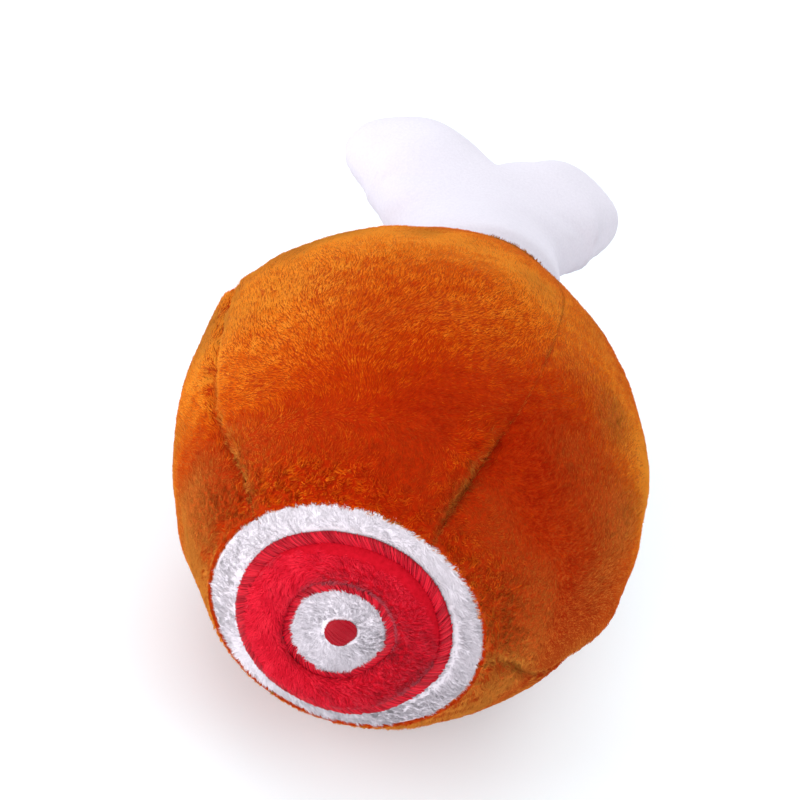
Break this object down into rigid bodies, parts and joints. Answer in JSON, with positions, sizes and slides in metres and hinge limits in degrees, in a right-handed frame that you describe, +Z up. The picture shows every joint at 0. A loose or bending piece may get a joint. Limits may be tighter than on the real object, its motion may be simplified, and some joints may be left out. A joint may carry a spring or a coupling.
{
  "type": "squeaky plush dog toy",
  "caption": "Stuffed plush dog toy shaped like a round ham with a domed cut face in front and a white bone at the back, with a squeaker sewn inside.",
  "frame": {"origin": "centre of the bounding box, at the surface that the toy lies on", "axes": "+Y from the cut face to the bone, +Z up, +X to the right when the cut face is looked at"},
  "size_m": [0.1202, 0.2262, 0.112],
  "materials": {
    "brown_plush": "matte short pile",
    "white_plush": "matte short pile",
    "red_plush": "matte short pile",
    "red_satin": "satin stitch",
    "bone_cloth": "smooth matte velboa",
    "filling": "matte fibre",
    "squeaker_plastic": "translucent satin",
    "reed_film": "gloss film",
    "brown_thread": "matte thread"
  },
  "bodies": {
    "ham": {"panel_right": "brown_plush", "panel_top": "brown_plush", "panel_left": "brown_plush", "panel_bottom": "brown_plush", "face_disc": "white_plush", "meat_ring": "red_plush", "meat_border": "red_satin", "marrow_disc": "white_plush", "marrow_border": "red_satin", "marrow_dot": "red_satin", "stuffing_front": "filling", "stuffing_rear": "filling", "squeaker_bladder": "squeaker_plastic", "closing_thread": "brown_thread"},
    "neck": {"neck_wadding": "filling"},
    "bone": {"bone_panel_upper": "bone_cloth", "bone_panel_lower": "bone_cloth", "bone_stuffing": "filling"},
    "squeaker_head": {"squeaker_plug": "squeaker_plastic", "reed_trough": "squeaker_plastic", "reed_clip": "squeaker_plastic"},
    "reed": {"reed_tongue": "reed_film"}
  },
  "joints": [
    {"name": "bone_sway", "type": "hinge", "parent": "ham", "child": "neck", "pos_m": [0.00009, 0.02917, 0.05336], "axis": [0, 0, 1], "range_deg": [-20, 4], "stiffness_Nm_per_rad": 3},
    {"name": "bone_nod", "type": "hinge", "parent": "neck", "child": "bone", "pos_m": [0.00009, 0.02917, 0.05336], "axis": [0.9781, 0.2079, 0], "range_deg": [-12, 12], "stiffness_Nm_per_rad": 3},
    {"name": "squeaker_press", "type": "slide", "parent": "ham", "child": "squeaker_head", "axis": [0, 0, -1], "range_m": [0, 0.008], "stiffness_N_per_m": 600, "deforming": ["squeaker_bladder"]},
    {"name": "reed_flutter", "type": "hinge", "parent": "squeaker_head", "child": "reed", "pos_m": [0.00009, -0.05083, 0.06356], "axis": [0, 1, 0], "range_deg": [-3, 3], "stiffness_Nm_per_rad": 0.002}
  ]
}
